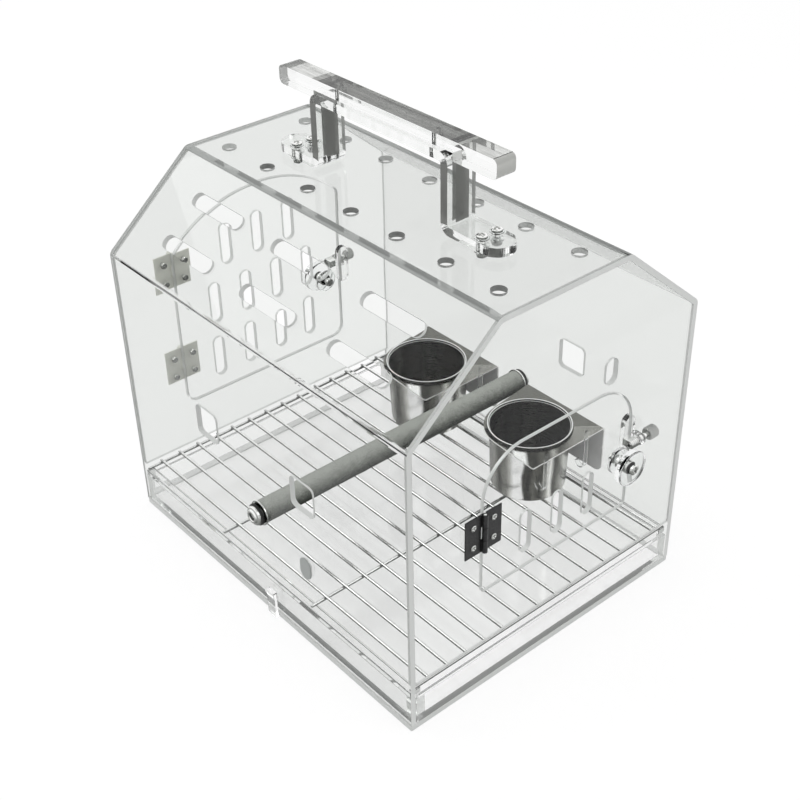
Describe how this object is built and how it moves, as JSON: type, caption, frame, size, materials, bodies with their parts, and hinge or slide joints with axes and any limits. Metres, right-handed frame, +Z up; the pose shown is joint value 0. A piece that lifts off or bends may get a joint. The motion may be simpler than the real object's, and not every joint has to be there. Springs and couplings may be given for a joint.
{
  "type": "bird travel carrier",
  "caption": "Clear box carrier for a small bird with a pitched top, hinged end doors, a perch, hanging cups, a wire grate over a drip tray and a top handle.",
  "frame": {"origin": "middle of the base plate's underside, which is the middle of the footprint", "axes": "+X along the cabin towards the small door, +Y towards the back wall with the cups, +Z up"},
  "size_m": [0.45, 0.335, 0.441],
  "materials": {
    "clear_acrylic": "clear cast acrylic sheet, polished faces and flame polished edges",
    "steel_cup": "satin stainless steel, drawn and lightly brushed",
    "steel_plate": "brushed stainless steel sheet",
    "steel_wire": "bright stainless steel wire, welded",
    "chrome": "bright plated steel",
    "fastener": "bright stainless steel screws and nuts",
    "hinge_steel": "satin stainless steel hinge",
    "hinge_black": "black coated steel hinge",
    "black_rubber": "black rubber",
    "perch_grit": "grey gritty coating over a hard rod",
    "grey_plastic": "moulded grey plastic",
    "knurled_metal": "grey knurled metal",
    "clear_clip": "clear sprung plastic strip"
  },
  "bodies": {
    "cabin": {"base_plate": "clear_acrylic", "big_door_end_panel": "clear_acrylic", "big_door_hinge_frame_leaves": "hinge_steel", "big_door_hinge_pins": "hinge_steel", "body_shell": "clear_acrylic", "bolt_guides": "clear_acrylic", "cup_clips_1": "clear_clip", "cup_clips_2": "clear_clip", "cup_holder_1": "steel_plate", "cup_holder_2": "steel_plate", "cup_holder_nuts": "fastener", "cup_holder_screws": "fastener", "door_stop_plates": "clear_acrylic", "grate_rails": "clear_acrylic", "handle_bar": "clear_acrylic", "handle_bar_screws": "fastener", "handle_bolts": "fastener", "handle_nuts": "fastener", "handle_strap": "clear_acrylic", "handle_washers": "clear_acrylic", "hinge_frame_nuts": "fastener", "hinge_frame_screws": "fastener", "perch": "perch_grit", "perch_bolts": "chrome", "perch_seats": "chrome", "perch_washers": "black_rubber", "small_door_end_panel": "clear_acrylic", "small_door_hinge_frame_leaf": "hinge_black", "small_door_hinge_pin": "hinge_black", "tray_stop": "clear_acrylic", "wall_plug": "grey_plastic"},
    "big_door": {"big_bolt_keeper": "chrome", "big_door": "clear_acrylic", "big_door_hinge_door_leaves": "hinge_steel", "big_door_hinge_nuts": "fastener", "big_door_hinge_screws": "fastener", "big_door_knob_back_disc": "clear_acrylic", "big_door_knob_disc": "clear_acrylic", "big_door_knob_nut": "fastener", "big_door_knob_screw": "chrome", "big_door_knob_spacer": "chrome"},
    "small_door": {"small_bolt_keeper": "chrome", "small_door": "clear_acrylic", "small_door_hinge_door_leaf": "hinge_black", "small_door_hinge_nuts": "fastener", "small_door_hinge_screws": "fastener", "small_door_knob_back_disc": "clear_acrylic", "small_door_knob_disc": "clear_acrylic", "small_door_knob_nut": "fastener", "small_door_knob_screw": "chrome", "small_door_knob_spacer": "chrome"},
    "big_bolt": {"big_bolt_knob": "knurled_metal", "big_slide_bolt": "chrome"},
    "small_bolt": {"small_bolt_knob": "knurled_metal", "small_slide_bolt": "chrome"},
    "cup_1": {"cup_1": "steel_cup"},
    "cup_2": {"cup_2": "steel_cup"},
    "grate": {"wire_grate": "steel_wire"},
    "tray": {"drip_tray": "clear_acrylic"}
  },
  "joints": [
    {"name": "big_door_swing", "type": "hinge", "parent": "cabin", "child": "big_door", "pos_m": [-0.20575, -0.0991, 0.19375], "axis": [0, 0, 1], "range_deg": [0, 165]},
    {"name": "small_door_swing", "type": "hinge", "parent": "cabin", "child": "small_door", "pos_m": [0.20575, -0.0836, 0.172], "axis": [0, 0, -1], "range_deg": [0, 165]},
    {"name": "big_bolt_slide", "type": "slide", "parent": "cabin", "child": "big_bolt", "axis": [0, -1, 0], "range_m": [0, 0.006]},
    {"name": "small_bolt_slide", "type": "slide", "parent": "cabin", "child": "small_bolt", "axis": [0, -1, 0], "range_m": [0, 0.006]},
    {"name": "cup_1_lift", "type": "slide", "parent": "cabin", "child": "cup_1", "axis": [0, 0, 1], "range_m": [0, 0.075]},
    {"name": "cup_2_lift", "type": "slide", "parent": "cabin", "child": "cup_2", "axis": [0, 0, 1], "range_m": [0, 0.075]},
    {"name": "grate_slide", "type": "slide", "parent": "cabin", "child": "grate", "axis": [1, 0, 0], "range_m": [0, 0.4]},
    {"name": "tray_slide", "type": "slide", "parent": "cabin", "child": "tray", "axis": [1, 0, 0], "range_m": [0, 0.4]}
  ]
}
